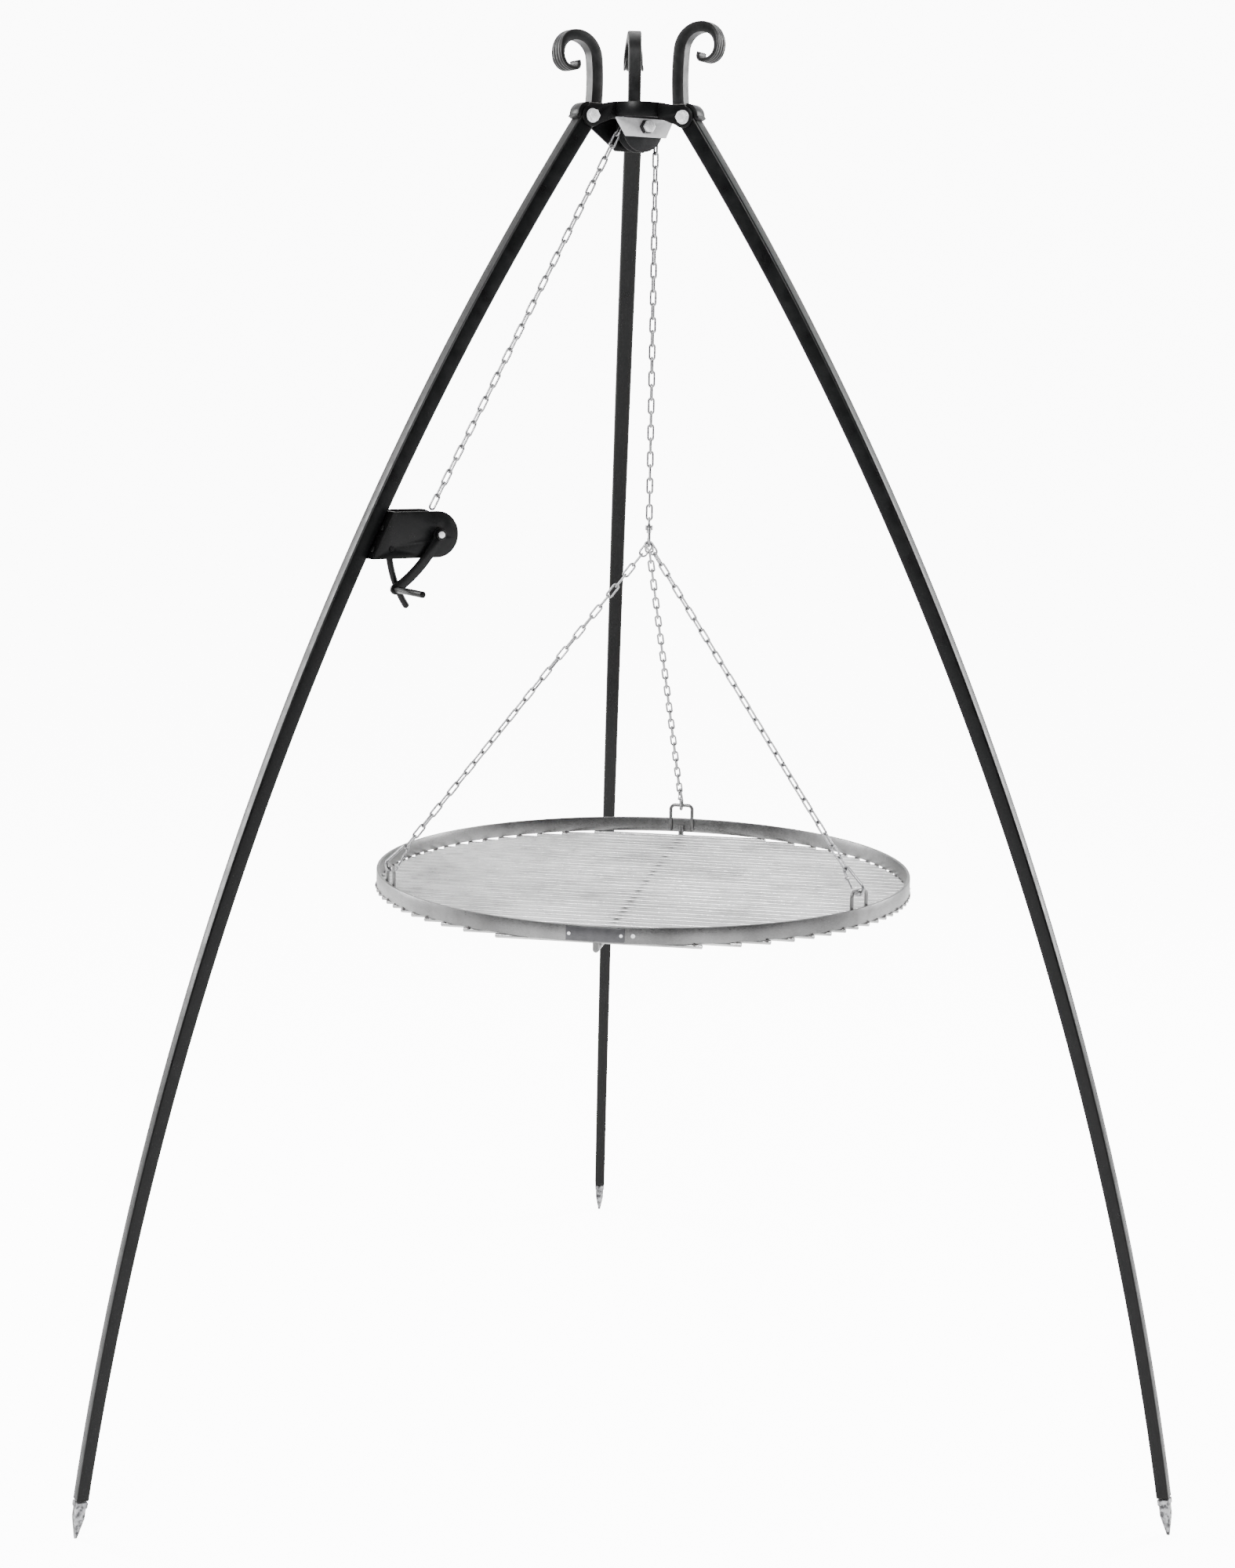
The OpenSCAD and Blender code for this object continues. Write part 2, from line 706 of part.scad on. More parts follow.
module snap_gate(i) {
    color("#b4b7bb") snap_frame(i) gate_bar(snap_pin, [0, snap_arc, 0], snap_wire);
}
module gate_rear() snap_gate(0);
module gate_left() snap_gate(1);
module gate_right() snap_gate(2);

// ---- grate ----

module on_grate() {
    translate([hang[0], hang[1], 0]) rotate(grate_turn) children();
}

module grate_rim() {
    color("#a9abae") on_grate() rotate_extrude($fn = 180)
        translate([grate_r - rim_t, grate_z - rim_h]) square([rim_t, rim_h]);
}

module grate_rods() {
    z = grate_z - rim_h - rod_d / 2 - 0.02;
    color("#b9bbbe") on_grate() for (i = [0 : rod_n - 1]) {
        y = (i - (rod_n - 1) / 2) * rod_pitch;
        half = sqrt(pow(grate_r + 3, 2) - y * y);
        translate([-half, y, z]) rotate([0, 90, 0]) cylinder(d = rod_d, h = 2 * half);
    }
}

module crossbar() {
    d = 8;
    z = grate_z - rim_h - rod_d - d / 2 - 0.04;
    end = grate_r - rim_t - d / 2 - 0.1;
    color("#b0b2b5") on_grate() {
        translate([0, end, z]) rotate([90, 0, 0]) cylinder(d = d, h = 2 * end);
        for (side = [-1, 1]) {
            translate([0, side * end, z]) sphere(d = d);
            translate([0, side * end, z]) cylinder(d = d, h = 20);
        }
    }
}

// Three upright wire staples that the snap hooks hold
module lugs() {
    bend = 6;
    low = grate_z - rim_h + 2;
    color("#b9bbbe") on_grate() for (a = [90, 210, 330]) {
        rotate(a) translate([lug_r, 0, 0]) rotate([90, 0, 90]) for (side = [0, 1]) {
            mirror([side, 0, 0]) {
                translate([lug_half, low, 0]) rotate([-90, 0, 0])
                    cylinder(d = lug_wire, h = lug_bar_z - bend - low);
                translate([lug_half - bend, lug_bar_z - bend, 0])
                    rotate_extrude(angle = 90) translate([bend, 0]) circle(d = lug_wire);
                translate([0, lug_bar_z, 0]) rotate([0, 90, 0]) cylinder(d = lug_wire, h = lug_half - bend);
            }
        }
    }
}

plate_a = 5.8;              // half the angle the blank plate covers
plate_h = 1.2;
module blank_plate() {
    color("#2c2c2e") on_grate() rotate(270 - plate_a) rotate_extrude(angle = 2 * plate_a, $fn = 180)
        translate([grate_r + 0.02, grate_z - rim_h / 2 - 8.5]) square([plate_h - 0.02, 17]);
}

module plate_rivets() {
    color("#c4c7cb") on_grate() {
        for (a = [-plate_a + 0.7, plate_a - 0.7]) {
            rotate(270 + a) translate([grate_r + plate_h + 0.02, 0, grate_z - rim_h / 2]) rotate([0, 90, 0])
                cylinder(d = 4, h = 1.2);
        }
        rotate(270 + plate_a + 1.6) translate([grate_r + 0.02, 0, grate_z - rim_h / 2]) rotate([0, 90, 0])
            cylinder(d = 5, h = 1.5);
    }
}

// ---- assembly ----

translate([0, row_y, 0]) {
    head_ring();
    bracket_left();
    bracket_right();
    bracket_rear();
    cheek_near();
    cheek_far();
    pulley_axle();
    pulley_nuts();
    pulley_wheel();
    pulley_chain();
    pivot_bolts();
    pivot_nuts();
    leg_left_tube();
    leg_right_tube();
    leg_rear_tube();
    horn_left();
    horn_right();
    horn_rear();
    cap_left();
    cap_right();
    cap_rear();
    spike_left();
    spike_right();
    spike_rear();
    winch_housing();
    winch_screws();
    lock_pin();
    lock_lever();
    winch_axle();
    drum();
    wound_chain();
    crank_arm();
    crank_handle();
    axle_collar();
    winch_chain();
    main_chain();
    swivel_eye();
    top_hook();
    top_gate();
    sling_left();
    sling_right();
    sling_rear();
    snap_left();
    snap_right();
    snap_rear();
    gate_left();
    gate_right();
    gate_rear();
    grate_rim();
    grate_rods();
    crossbar();
    lugs();
    blank_plate();
    plate_rivets();
}
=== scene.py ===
"""Looks for the campfire tripod with its winch-hung round grate. Metres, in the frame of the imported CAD."""

import json
import math

import bpy
from mathutils import Matrix, Vector


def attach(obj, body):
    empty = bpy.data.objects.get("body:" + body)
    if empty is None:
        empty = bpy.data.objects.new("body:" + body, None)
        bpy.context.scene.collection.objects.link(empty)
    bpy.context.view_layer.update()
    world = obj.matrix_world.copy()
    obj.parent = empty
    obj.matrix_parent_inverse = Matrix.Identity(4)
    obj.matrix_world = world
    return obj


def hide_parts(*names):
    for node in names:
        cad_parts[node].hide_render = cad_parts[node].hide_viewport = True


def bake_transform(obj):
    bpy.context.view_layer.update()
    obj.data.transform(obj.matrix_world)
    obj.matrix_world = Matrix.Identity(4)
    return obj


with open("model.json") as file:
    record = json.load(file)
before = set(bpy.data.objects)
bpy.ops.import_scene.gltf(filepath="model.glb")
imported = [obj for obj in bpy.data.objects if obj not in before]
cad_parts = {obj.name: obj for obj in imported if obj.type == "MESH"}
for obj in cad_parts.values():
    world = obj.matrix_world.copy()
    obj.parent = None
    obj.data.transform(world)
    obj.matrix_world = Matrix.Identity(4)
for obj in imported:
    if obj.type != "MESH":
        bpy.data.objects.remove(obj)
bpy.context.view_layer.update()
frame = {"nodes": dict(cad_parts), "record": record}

# ---- sizes shared with the CAD ----

ROW_Y = -0.1905
AZ = {"rear": 90, "left": 210, "right": 330}
FOOT_R = 0.765
LEG_TOP = (0.070, 1.700)
LEG_BOW = 0.103
TUBE_FOOT = 0.015
TUBE_TOP = 0.022
TUBE_END = 0.048
HORN_Z = 1.712
PULLEY = (-0.006, 1.688)
CHAIN_R = 0.024
PITCH = 0.0169
LINK_L = 0.0225
LINK_W = 0.0095
WIRE = 0.0027
MAIN_LINKS = 28
CHAIN_TWIST = 30
FIRST_LINK_Z = 1.2101
GRATE_R = 0.350
GRATE_TOP = 0.745
RIM_H = 0.020
GRATE_TURN = -12

# a drawn rod's surface lies this far inside the CAD's
SKIN = 0.0001

# ---- geometry helpers ----


def at(az, r, z, t=0.0):
    """A point of a leg's radial plane: r outwards, z up, t along the plane's normal."""
    a = math.radians(az)
    return Vector((r * math.cos(a) - t * math.sin(a), r * math.sin(a) + t * math.cos(a) + ROW_Y, z))


def hanging_line():
    """The foot point of the vertical line that the chain and the grate hang on."""
    return at(AZ["left"], PULLEY[0] - CHAIN_R, 0)


def new_piece(name, verts, faces, mat, body, nodes=(), sharp=35):
    """A mesh piece with smooth shading, sharp above an angle, riding on a CAD body."""
    mesh = bpy.data.meshes.new(name)
    mesh.from_pydata([tuple(v) for v in verts], [], faces)
    mesh.validate()
    obj = bpy.data.objects.new(name, mesh)
    bpy.context.scene.collection.objects.link(obj)
    obj.data.materials.append(mat)
    mesh.shade_smooth()
    mesh.set_sharp_from_angle(angle=math.radians(sharp))
    if body:
        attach(obj, body)
    if nodes:
        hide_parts(*nodes)
    return obj


def loft(rings, closed=False):
    """Vertices and faces of a skin over equal rings, with flat ends unless it closes on itself."""
    n = len(rings[0])
    verts = [v for ring in rings for v in ring]
    count = len(rings)
    faces = []
    for i in range(count if closed else count - 1):
        j = (i + 1) % count
        for k in range(n):
            m = (k + 1) % n
            faces.append((i * n + k, i * n + m, j * n + m, j * n + k))
    if not closed:
        faces.append(tuple(reversed(range(n))))
        faces.append(tuple((count - 1) * n + k for k in range(n)))
    return verts, faces


def rounded_square(size, radius, steps=4):
    """Outline of a square with round corners, as (x, y) pairs."""
    half = size / 2 - radius
    out = []
    for corner in range(4):
        cx, cy = (half, half, -half, -half)[corner], (half, -half, -half, half)[corner]
        for s in range(steps + 1):
            a = math.radians(90 - 90 * corner - 90 * s / steps)
            out.append((cx + radius * math.cos(a), cy + radius * math.sin(a)))
    return out


class Arc:
    """The bowed centreline of a leg in its radial plane."""

    def __init__(self):
        dr, dz = FOOT_R - LEG_TOP[0], LEG_TOP[1]
        chord = math.hypot(dr, dz)
        self.radius = (chord * chord / 4 + LEG_BOW * LEG_BOW) / (2 * LEG_BOW)
        back = self.radius - LEG_BOW
        self.r = (FOOT_R + LEG_TOP[0]) / 2 - back * dz / chord
        self.z = dz / 2 - back * dr / chord

    def angle(self, z):
        return math.asin((z - self.z) / self.radius)

    def point(self, angle, off=0.0):
        return self.r + (self.radius + off) * math.cos(angle), self.z + (self.radius + off) * math.sin(angle)


LEG = Arc()

# ---- materials ----


class Nodes:
    """Short calls for building one procedural material."""

    def __init__(self, name):
        self.mat = bpy.data.materials.new(name)
        self.mat.use_nodes = True
        self.tree = self.mat.node_tree
        self.bsdf = self.tree.nodes["Principled BSDF"]
        self.coords = self.add("ShaderNodeTexCoord").outputs["Object"]

    def add(self, kind, **values):
        node = self.tree.nodes.new(kind)
        for key, value in values.items():
            setattr(node, key, value)
        return node

    def link(self, a, b):
        self.tree.links.new(a, b)

    def noise(self, scale, detail=4.0, stretch=(1, 1, 1)):
        mapping = self.add("ShaderNodeMapping")
        mapping.inputs["Scale"].default_value = stretch
        self.link(self.coords, mapping.inputs["Vector"])
        node = self.add("ShaderNodeTexNoise")
        node.inputs["Scale"].default_value = scale
        node.inputs["Detail"].default_value = detail
        self.link(mapping.outputs["Vector"], node.inputs["Vector"])
        return node.outputs["Fac"]

    def ramp(self, fac, stops):
        node = self.add("ShaderNodeValToRGB")
        elements = node.color_ramp.elements
        while len(elements) < len(stops):
            elements.new(0.5)
        for element, (place, color) in zip(elements, stops):
            element.position = place
            element.color = (*color, 1) if len(color) == 3 else color
        self.link(fac, node.inputs["Fac"])
        return node.outputs["Color"]

    def mix(self, fac, a, b):
        node = self.add("ShaderNodeMix", data_type="RGBA")
        for socket, value in ((node.inputs[0], fac), (node.inputs[6], a), (node.inputs[7], b)):
            if isinstance(value, bpy.types.NodeSocket):
                self.link(value, socket)
            else:
                socket.default_value = (*value, 1) if isinstance(value, tuple) else value
        return node.outputs[2]

    def grey(self, fac, low, high):
        return self.ramp(fac, [(0.3, (low,) * 3), (0.7, (high,) * 3)])

    def bump(self, height, strength, distance):
        node = self.add("ShaderNodeBump")
        node.inputs["Strength"].default_value = strength
        node.inputs["Distance"].default_value = distance
        self.link(height, node.inputs["Height"])
        self.link(node.outputs["Normal"], self.bsdf.inputs["Normal"])

    def metal(self, amount):
        self.bsdf.inputs["Metallic"].default_value = amount


def black_coat():
    """Satin powder coat: fine orange peel and faint rubbed patches."""
    n = Nodes("black_coat")
    patches = n.noise(14, 6)
    rubbed = n.ramp(patches, [(0.45, (0, 0, 0)), (0.75, (0.35,) * 3)])
    n.link(n.mix(rubbed, (0.0015, 0.0015, 0.0016), (0.004, 0.004, 0.0042)), n.bsdf.inputs["Base Color"])
    n.link(n.grey(n.noise(60, 5), 0.26, 0.42), n.bsdf.inputs["Roughness"])
    n.bsdf.inputs["Specular IOR Level"].default_value = 0.15
    n.bump(n.noise(700, 2), 0.08, 0.0004)
    return n.mat


def forged_black():
    """Black over hand-forged bar: grey sheen where it is rubbed, hammered unevenness."""
    n = Nodes("forged_black")
    rubbed = n.ramp(n.noise(26, 8), [(0.46, (0, 0, 0)), (0.74, (0.5,) * 3)])
    n.link(n.mix(rubbed, (0.003, 0.003, 0.0031), (0.02, 0.02, 0.0206)), n.bsdf.inputs["Base Color"])
    n.link(n.grey(n.noise(90, 6), 0.3, 0.46), n.bsdf.inputs["Roughness"])
    n.bsdf.inputs["Specular IOR Level"].default_value = 0.22
    n.bump(n.noise(140, 4), 0.2, 0.0008)
    return n.mat


def black_iron():
    """Duller black of the pulley's wheel and nuts and of the drum."""
    n = Nodes("black_iron")
    n.link(n.mix(n.noise(70, 5), (0.004, 0.004, 0.004), (0.014, 0.014, 0.015)), n.bsdf.inputs["Base Color"])
    n.link(n.grey(n.noise(120, 4), 0.38, 0.6), n.bsdf.inputs["Roughness"])
    n.bsdf.inputs["Specular IOR Level"].default_value = 0.15
    n.bump(n.noise(500, 3), 0.2, 0.0006)
    return n.mat


def zinc(name, low, high, rough, metallic=1.0):
    """Bright zinc or polished steel with small tarnish spots."""
    n = Nodes(name)
    color = n.mix(n.noise(220, 6), (low, low, low * 1.02), (high, high, high * 1.02))
    n.link(color, n.bsdf.inputs["Base Color"])
    n.link(n.grey(n.noise(400, 4), rough, rough + 0.16), n.bsdf.inputs["Roughness"])
    n.metal(metallic)
    n.bump(n.noise(900, 2), 0.12, 0.0003)
    return n.mat


def grate_steel(name, low, high, spotted):
    """Brushed stainless with blotches of heat tint."""
    n = Nodes(name)
    tint = n.grey(n.noise(9, 7), low, high)
    spots = n.ramp(n.noise(42, 6), [(0.5, (0, 0, 0)), (0.72, (spotted,) * 3)])
    n.link(n.mix(spots, tint, (0.08, 0.078, 0.076)), n.bsdf.inputs["Base Color"])
    n.link(n.grey(n.noise(300, 4, (1, 1, 8)), 0.24, 0.44), n.bsdf.inputs["Roughness"])
    n.metal(1.0)
    n.bump(n.noise(700, 3, (1, 1, 6)), 0.18, 0.0004)
    return n.mat


def scuffed_steel():
    """Bare steel spikes, dark with bright scuffs."""
    n = Nodes("scuffed_steel")
    worn = n.ramp(n.noise(160, 8), [(0.4, (0.03, 0.03, 0.032)), (0.6, (0.32, 0.32, 0.33))])
    n.link(worn, n.bsdf.inputs["Base Color"])
    n.link(n.grey(n.noise(240, 5), 0.35, 0.6), n.bsdf.inputs["Roughness"])
    n.metal(0.6)
    n.bump(n.noise(300, 5), 0.4, 0.0008)
    return n.mat


def dark_plate():
    """The dark brushed plate on the rim."""
    n = Nodes("dark_plate")
    n.link(n.mix(n.noise(80, 6), (0.03, 0.03, 0.032), (0.075, 0.075, 0.08)), n.bsdf.inputs["Base Color"])
    n.link(n.grey(n.noise(260, 4, (1, 1, 10)), 0.3, 0.45), n.bsdf.inputs["Roughness"])
    n.metal(0.5)
    n.bump(n.noise(600, 3), 0.15, 0.0003)
    return n.mat


def weld():
    """Blued weld beads."""
    n = Nodes("weld")
    n.link(n.mix(n.noise(300, 6), (0.03, 0.03, 0.035), (0.10, 0.095, 0.09)), n.bsdf.inputs["Base Color"])
    n.link(n.grey(n.noise(500, 4), 0.3, 0.5), n.bsdf.inputs["Roughness"])
    n.metal(0.7)
    n.bump(n.noise(420, 4), 0.5, 0.001)
    return n.mat


MATS = {
    "black_coat": black_coat(),
    "forged_black": forged_black(),
    "black_iron": black_iron(),
    "bright_fastener": zinc("bright_fastener", 0.55, 0.8, 0.16, 0.35),
    "bright_plate": zinc("bright_plate", 0.30, 0.52, 0.40, 0.1),
    "zinc_chain": zinc("zinc_chain", 0.16, 0.34, 0.22),
    "hook_steel": zinc("hook_steel", 0.14, 0.30, 0.22),
    "grate_steel": grate_steel("grate_steel", 0.09, 0.2, 0.4),
    "scuffed_steel": scuffed_steel(),
    "dark_plate": dark_plate(),
}
WELD = weld()
# The rods' copy of the heat-tinted brushed stainless, made lighter than the rim's. That extra lightness is
# painted highlight for the bright tops of the rods.
ROD_STEEL_PAINTED_HIGHLIGHT = grate_steel("rod_steel_painted_highlight", 0.26, 0.5, 0.3)
SLOT_OF = {s["node"]: s["material_slot"] for s in frame["record"]["subparts"]}
BODY_OF = {n: b for b, ns in frame["record"]["behaviour"]["bodies"].items() for n in ns}


def dress_cad():
    """Gives every CAD node its procedural material."""
    for name, obj in frame["nodes"].items():
        for i in range(len(obj.material_slots)):
            obj.material_slots[i].link = "OBJECT"
            obj.material_slots[i].material = MATS[SLOT_OF[name]]


# CAD nodes shown with rounded edges, and the width of that rounding
SOFTENED = ("head_ring", "bracket_left", "bracket_right", "bracket_rear", "cheek_near", "cheek_far",
            "cap_left", "cap_right", "cap_rear", "pulley_wheel", "pulley_nuts", "pulley_axle",
            "pivot_bolts", "pivot_nuts", "winch_housing", "crank_arm", "crank_handle", "axle_collar",
            "winch_axle", "blank_plate", "grate_rim", "spike_left", "spike_right", "spike_rear",
            "winch_screws")
EDGE = 0.0007


def soften(node, width):
    """A copy of a CAD node with its edges rounded, shown in the node's place."""
    source = frame["nodes"][node]
    mesh = source.data.copy()
    obj = bpy.data.objects.new(f"soft_{node}", mesh)
    bpy.context.scene.collection.objects.link(obj)
    mesh.materials.clear()
    mesh.materials.append(MATS[SLOT_OF[node]])
    join = obj.modifiers.new("join", "WELD")
    join.merge_threshold = 1e-5
    flat = obj.modifiers.new("flat", "DECIMATE")
    flat.decimate_type = "DISSOLVE"
    flat.angle_limit = math.radians(1)
    edge = obj.modifiers.new("edge", "BEVEL")
    edge.width = width
    edge.segments = 2
    edge.limit_method = "ANGLE"
    edge.angle_limit = math.radians(40)
    edge.use_clamp_overlap = True
    shape = bpy.data.meshes.new_from_object(obj.evaluated_get(bpy.context.evaluated_depsgraph_get()))
    obj.modifiers.clear()
    obj.data = shape
    shape.shade_smooth()
    shape.set_sharp_from_angle(angle=math.radians(32))
    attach(obj, BODY_OF[node])
    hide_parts(node)
    return obj


# ---- legs ----

# corner radius of the tube as a share of its width, and the number of steps along it
TUBE_CORNER = 0.13
TUBE_STEPS = 64


def leg_tube(name):
    """Square tube with rolled corners along the bowed centreline, cut level at the top."""
    outline = rounded_square(1.0, TUBE_CORNER)
    low, high = LEG.angle(TUBE_END), LEG.angle(HORN_Z)
    rings = []
    for i in range(TUBE_STEPS + 1):
        a = low + (high - low) * i / TUBE_STEPS
        size = TUBE_FOOT + (TUBE_TOP - TUBE_FOOT) * LEG.point(a)[1] / HORN_Z
        ring = []
        for off, t in ((x * size, y * size) for x, y in outline):
            r, z = LEG.point(a, off)
            if i == TUBE_STEPS:
                lift = (HORN_Z - z) / math.cos(a)
                r, z = r - lift * math.sin(a), HORN_Z
            ring.append(at(AZ[name], r, z, t))
        rings.append(ring)
    verts, faces = loft(rings)
    node = f"leg_{name}_tube"
    new_piece(f"tube_{name}", verts, faces, MATS["black_coat"], f"leg_{name}", (node,))


# Horn centreline: a nearly straight stem, then arcs of (radius, sweep) turning outwards; bar thickness and
# width at each joint of the arcs
HORN_START = (0.062, HORN_Z)
HORN_HEADING = 96
STEM_BEND = 12
STEM = {"rear": 0.071, "left": 0.0545, "right": 0.067}
CURL_ARCS = [(0.0286, 94), (0.022, 100), (0.0165, 80), (0.0066, 110)]
HORN_THICK = [0.016, 0.016, 0.0125, 0.005, 0.0044, 0.0033]
HORN_WIDE = [0.016, 0.016, 0.0176, 0.025, 0.026, 0.022]
# grooves across the hammered part: they deepen while the bar widens from GROOVE_FROM by GROOVE_OVER
GROOVES = 4
GROOVE_DEPTH = 0.0013
GROOVE_FROM = 0.0176
GROOVE_OVER = 0.0084
HORN_ROUND = 0.0016


def horn_stations(stem, per_arc=14):
    """Centre, inward normal, thickness and width of the bar, from the foot of the horn to its tip."""
    r, z = HORN_START
    heading = HORN_HEADING
    out = []
    arcs = [(stem / math.radians(STEM_BEND), STEM_BEND)] + CURL_ARCS
    for i, (radius, sweep) in enumerate(arcs):
        n0 = (math.sin(math.radians(heading)), -math.cos(math.radians(heading)))
        last = i == len(arcs) - 1
        for s in range(per_arc + (1 if last else 0)):
            u = s / per_arc
            h = math.radians(heading - u * sweep)
            n = (math.sin(h), -math.cos(h))
            e = u * u * (3 - 2 * u)
            thick = HORN_THICK[i] + (HORN_THICK[i + 1] - HORN_THICK[i]) * e
            wide = HORN_WIDE[i] + (HORN_WIDE[i + 1] - HORN_WIDE[i]) * e
            place = (r + radius * (n0[0] - n[0]), z + radius * (n0[1] - n[1]))
            out.append((place, n if i + s else (1.0, 0.0), thick, wide))
        end = math.radians(heading - sweep)
        r += radius * (n0[0] - math.sin(end))
        z += radius * (n0[1] + math.cos(end))
        heading -= sweep
    return out


def horn_ring(az, station):
    """One section: rounded corners, four lengthwise grooves outside where the bar is hammered flat."""
    (r, z), n, thick, wide = station
    flat = max(0.0, min(1.0, (wide - GROOVE_FROM) / GROOVE_OVER))
    round_in = min(HORN_ROUND, thick * 0.3)
    ring = []
    steps = 32
    for s in range(steps + 1):
        x = -1 + 2 * s / steps
        wave = 0.5 - 0.5 * math.cos(math.pi * GROOVES * (x + 1))
        groove = GROOVE_DEPTH * flat * wave ** 2 if abs(x) < 0.97 else 0
        edge = round_in * max(0.0, (abs(x) * wide / 2 - (wide / 2 - round_in)) / round_in) ** 2
        ring.append((-thick / 2 + groove + edge, x * wide / 2))
    for x in (1, 0.93, 0.5, 0, -0.5, -0.93, -1):
        edge = round_in * 0.7 if abs(x) == 1 else 0
        ring.append((thick / 2 - edge, x * wide / 2))
    return [at(az, r + a * n[0], z + a * n[1], t) for a, t in ring]


def horn(name):
    """The forged bar above a leg, from its foot on the bracket to the tip of its curl."""
    verts, faces = loft([horn_ring(AZ[name], s) for s in horn_stations(STEM[name])])
    node = f"horn_{name}"
    new_piece(f"horn_bar_{name}", verts, faces, MATS["forged_black"], f"leg_{name}",
              (node,), 50)


# the bead's path round the bar, as half sizes in r and t, then its radius and how square the path is
BEAD_HALF_R = 0.0078
BEAD_HALF_T = 0.0076
BEAD_SIZE = 0.0016
BEAD_SQUARE = 0.35
BEAD_STEPS = 56


def weld_bead(name):
    """A rough bead of weld around the square foot of a leg's horn."""
    foot_r, foot_z = HORN_START[0], HORN_Z + 0.0004
    rings = []
    for i in range(BEAD_STEPS):
        a = 2 * math.pi * i / BEAD_STEPS
        x = BEAD_HALF_R * math.copysign(abs(math.cos(a)) ** BEAD_SQUARE, math.cos(a))
        t = BEAD_HALF_T * math.copysign(abs(math.sin(a)) ** BEAD_SQUARE, math.sin(a))
        rough = BEAD_SIZE * (0.85 + 0.15 * math.sin(a * 17) + 0.1 * math.sin(a * 29 + 1))
        ring = []
        for b in (2 * math.pi * k / 8 for k in range(8)):
            out, up = rough * math.cos(b), rough * math.sin(b)
            ring.append(at(AZ[name], foot_r + x * (1 + out / BEAD_HALF_R), foot_z + up,
                           t * (1 + out / BEAD_HALF_T)))
        rings.append(ring)
    verts, faces = loft(rings, closed=True)
    new_piece(f"horn_weld_{name}", verts, faces, WELD, f"leg_{name}")


# ---- the grate's rods ----

RODS = 33
ROD_PITCH = 0.0205
ROD_D = 0.006
ROD_Z = GRATE_TOP - RIM_H - ROD_D / 2
# how far a rod's ends stand past the rim, the length of their rounding, and the slight bow of the longest
ROD_PAST = 0.0012
ROD_ROUND = 0.0008
ROD_SAG = 0.0004
ROD_WELD = 0.0034


def on_grate(x, y, z):
    """A point of the grate, turned and placed under the hanging chain."""
    hang = hanging_line()
    a = math.radians(GRATE_TURN)
    return Vector((hang.x + x * math.cos(a) - y * math.sin(a),
                   hang.y + x * math.sin(a) + y * math.cos(a), z))


def rod_rings(points, radius, sides=14):
    """Rings of a rod along points of the grate, with the first and the last drawn in."""
    rings = []
    for i, (x, y, z) in enumerate(points):
        r = radius * (0.55 if i in (0, len(points) - 1) else 1.0)
        rings.append([on_grate(x, y + r * math.cos(b), z + r * math.sin(b))
                      for b in (2 * math.pi * k / sides for k in range(sides))])
    return rings


def grate_rods():
    """Drawn rods with rounded ends, each welded to the rim's lower edge by two small beads."""
    for i in range(RODS):
        y = (i - (RODS - 1) / 2) * ROD_PITCH
        half = math.sqrt((GRATE_R + ROD_PAST) ** 2 - y * y)
        inner = half - ROD_ROUND
        xs = [-half] + [-inner + 2 * inner * k / 8 for k in range(9)] + [half]
        sag = ROD_SAG * math.sin(i * 2.3)
        points = [(x, y, ROD_Z + sag * (1 - (x / half) ** 2) - SKIN) for x in xs]
        verts, faces = loft(rod_rings(points, ROD_D / 2 - SKIN))
        new_piece(f"rod_{i + 1:02d}", verts, faces, ROD_STEEL_PAINTED_HIGHLIGHT, "grate", ("grate_rods",), 50)
        for side in (-1, 1):
            x = side * math.sqrt((GRATE_R - 0.002) ** 2 - y * y)
            blob(f"rod_weld_{i + 1:02d}_{'ab'[side > 0]}", on_grate(x, y, GRATE_TOP - RIM_H - 0.0006),
                 ROD_WELD + 0.0006 * math.sin(i * 3.1 + side), i + side)


def blob(name, centre, size, seed):
    """A small uneven bead of weld."""
    rings = []
    for j in range(1, 6):
        a = math.pi * j / 6
        ring = []
        for k in range(10):
            b = 2 * math.pi * k / 10
            r = size * (1 + 0.14 * math.sin(3 * b + seed * 1.7) + 0.1 * math.sin(5 * a + seed))
            flat = r * math.sin(a)
            ring.append(centre + Vector((flat * math.cos(b), flat * math.sin(b), 0.62 * r * math.cos(a))))
        rings.append(ring)
    verts, faces = loft(rings)
    new_piece(name, verts, faces, WELD, "grate", (), 60)


# ---- the hanging chain ----


def link_rings():
    """Rings of one link lying along x in its own xy plane, with the butt weld on one straight side."""
    bend = (LINK_W - WIRE) / 2
    half = (LINK_L - LINK_W) / 2
    path = [(x, -bend, 0.0, -1.0) for x in (-half, -0.0015, 0, 0.0015, half)]
    path += [(half + bend * math.sin(a), -bend * math.cos(a), math.sin(a), -math.cos(a))
             for a in (math.radians(180 * k / 10) for k in range(1, 10))]
    path += [(x, bend, 0.0, 1.0) for x in (half, 0.0, -half)]
    path += [(-half - bend * math.sin(a), bend * math.cos(a), -math.sin(a), math.cos(a))
             for a in (math.radians(180 * k / 10) for k in range(1, 10))]
    rings = []
    for i, (x, y, nx, ny) in enumerate(path):
        r = WIRE / 2 * (1.14 if i == 2 else 1.0)
        rings.append([Vector((x + r * math.cos(b) * nx, y + r * math.cos(b) * ny, r * math.sin(b)))
                      for b in (2 * math.pi * k / 12 for k in range(12))])
    return rings


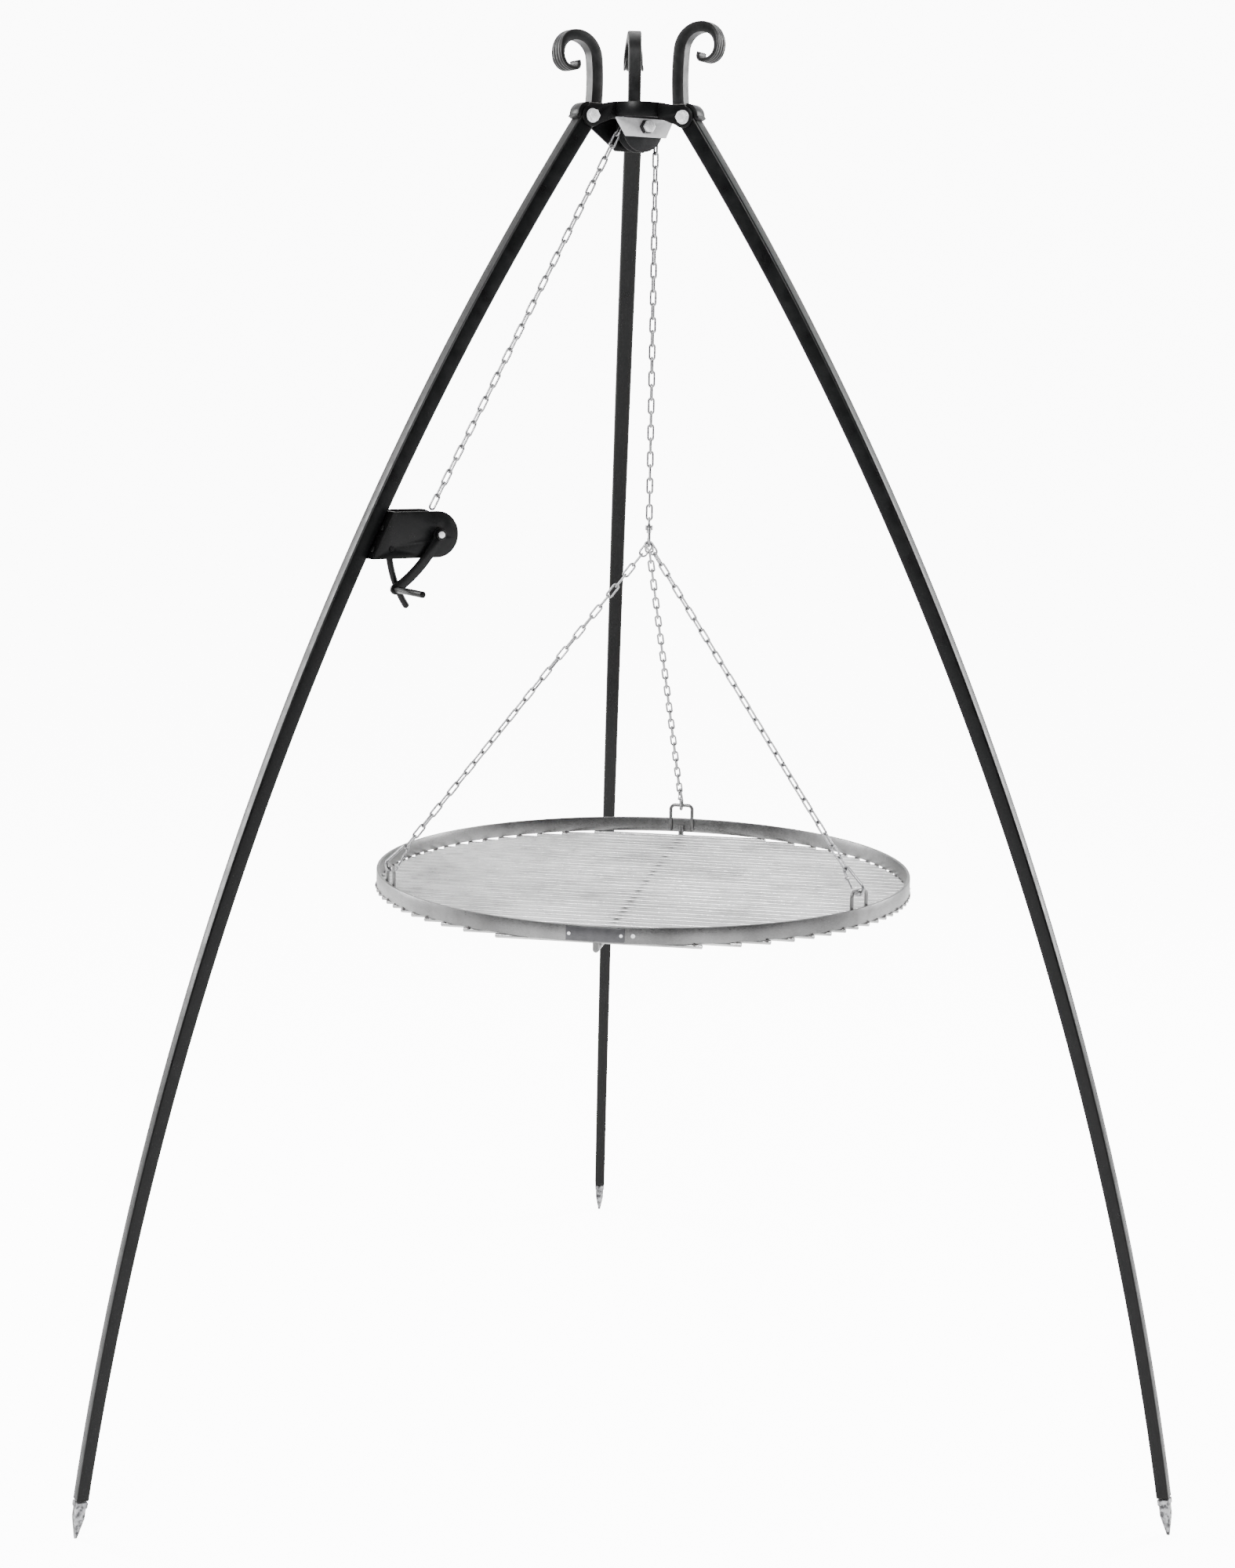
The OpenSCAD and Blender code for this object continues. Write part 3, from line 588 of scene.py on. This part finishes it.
def main_chain():
    """The chain from the pulley to the hook, one link after another, each set crosswise to the last."""
    rings = link_rings()
    hang = hanging_line()
    for k in range(MAIN_LINKS):
        z = FIRST_LINK_Z + k * PITCH
        turn = math.radians(AZ["left"] + (k % 2) * 90 - CHAIN_TWIST * (1 - k / MAIN_LINKS))
        across = Vector((math.cos(turn), math.sin(turn), 0))
        normal = Vector((-math.sin(turn), math.cos(turn), 0))
        verts, faces = loft([[Vector((hang.x, hang.y, z)) + Vector((0, 0, p.x)) + across * p.y + normal * p.z
                              for p in ring] for ring in rings], closed=True)
        obj = new_piece(f"link_{k:02d}", verts, faces, MATS["zinc_chain"], None, ("main_chain",))
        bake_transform(obj)


# ---- studio ----


# Camera: the turn about the tripod's axis, the place before that turn, the lens in mm, and then the pan, the
# downward tilt and the roll in degrees
CAMERA_TURN = -2.358
CAMERA_PLACE = (-0.0033, -3.1374, 1.4133)
CAMERA_LENS = 56.09
CAMERA_PAN = 0.124
CAMERA_TILT = 10.044
CAMERA_ROLL = 0.890


def camera():
    """The angle the tripod is seen from: a little above the winch, looking slightly down."""
    turn = math.radians(CAMERA_TURN)
    place = Matrix.Rotation(turn, 4, "Z") @ Vector(CAMERA_PLACE)
    data = bpy.data.cameras.new("camera")
    data.lens = CAMERA_LENS
    data.sensor_width = 36
    obj = bpy.data.objects.new("camera", data)
    bpy.context.scene.collection.objects.link(obj)
    look = (Matrix.Rotation(turn + math.radians(CAMERA_PAN), 4, "Z")
            @ Matrix.Rotation(math.pi / 2 - math.radians(CAMERA_TILT), 4, "X")
            @ Matrix.Rotation(math.radians(CAMERA_ROLL), 4, "Z"))
    obj.matrix_world = Matrix.Translation(place + Vector((0, ROW_Y, 0))) @ look
    bpy.context.scene.camera = obj


def area_light(name, place, target, size, power):
    """A rectangular soft light that faces a point."""
    data = bpy.data.lights.new(name, "AREA")
    data.shape = "RECTANGLE"
    data.size, data.size_y = size
    data.energy = power
    obj = bpy.data.objects.new(name, data)
    obj.location = place
    obj.rotation_euler = (Vector(target) - Vector(place)).to_track_quat("-Z", "Y").to_euler()
    bpy.context.scene.collection.objects.link(obj)


def sky(tree):
    """White paper behind the object, dim room behind the viewer, so that metal shows dark and light edges."""
    coords = tree.nodes.new("ShaderNodeTexCoord")
    parts = tree.nodes.new("ShaderNodeSeparateXYZ")
    tree.links.new(coords.outputs["Generated"], parts.inputs["Vector"])
    ramp = tree.nodes.new("ShaderNodeValToRGB")
    ramp.color_ramp.elements[0].position = 0.30
    ramp.color_ramp.elements[0].color = (0.035, 0.035, 0.037, 1)
    ramp.color_ramp.elements[1].position = 0.58
    ramp.color_ramp.elements[1].color = (1, 1, 1, 1)
    half = tree.nodes.new("ShaderNodeMath")
    half.operation = "MULTIPLY_ADD"
    half.inputs[1].default_value = 0.5
    half.inputs[2].default_value = 0.5
    tree.links.new(parts.outputs["Y"], half.inputs[0])
    tree.links.new(half.outputs[0], ramp.inputs["Fac"])
    tree.links.new(ramp.outputs["Color"], tree.nodes["Background"].inputs["Color"])
    tree.nodes["Background"].inputs["Strength"].default_value = 4.0


def paper():
    """White paper that looks white to the eye but lights the object only softly."""
    n = Nodes("floor")
    n.bsdf.inputs["Base Color"].default_value = (0.9, 0.9, 0.9, 1)
    n.bsdf.inputs["Roughness"].default_value = 0.9
    n.bsdf.inputs["Emission Color"].default_value = (1, 1, 1, 1)
    glow = n.add("ShaderNodeMath", operation="MULTIPLY_ADD")
    glow.inputs[1].default_value = 9.0
    glow.inputs[2].default_value = 0.8
    n.link(n.add("ShaderNodeLightPath").outputs["Is Camera Ray"], glow.inputs[0])
    n.link(glow.outputs[0], n.bsdf.inputs["Emission Strength"])
    return n.mat


def studio():
    """A white floor that curves up into a wall, the room's light and three soft lights."""
    wall = 7.0
    bend = 3.0
    profile = [(-wall, 0.0), (wall - bend, 0.0)]
    profile += [(wall - bend + bend * math.sin(x), bend - bend * math.cos(x))
                for x in (math.radians(90 * k / 16) for k in range(1, 17))]
    profile.append((wall, 9.0))
    mesh = bpy.data.meshes.new("floor")
    mesh.from_pydata([(x, y, z) for y, z in profile for x in (-12, 12)], [],
                     [(2 * k, 2 * k + 1, 2 * k + 3, 2 * k + 2) for k in range(len(profile) - 1)])
    mesh.shade_smooth()
    floor = bpy.data.objects.new("floor", mesh)
    bpy.context.scene.collection.objects.link(floor)
    mesh.materials.append(paper())
    world = bpy.data.worlds.new("world")
    bpy.context.scene.world = world
    world.use_nodes = True
    sky(world.node_tree)
    area_light("key", (-1.1, -3.6, 3.6), (0, -0.2, 1.0), (1.4, 1.4), 220)
    area_light("left", (-3.2, 1.2, 1.9), (0, -0.2, 1.1), (0.8, 2.4), 150)
    area_light("right", (3.2, 1.2, 1.9), (0, -0.2, 1.1), (0.8, 2.4), 150)


dress_cad()
grate_rods()
for side in AZ:
    leg_tube(side)
    horn(side)
    weld_bead(side)
for part in SOFTENED:
    soften(part, EDGE)
main_chain()
camera()
studio()
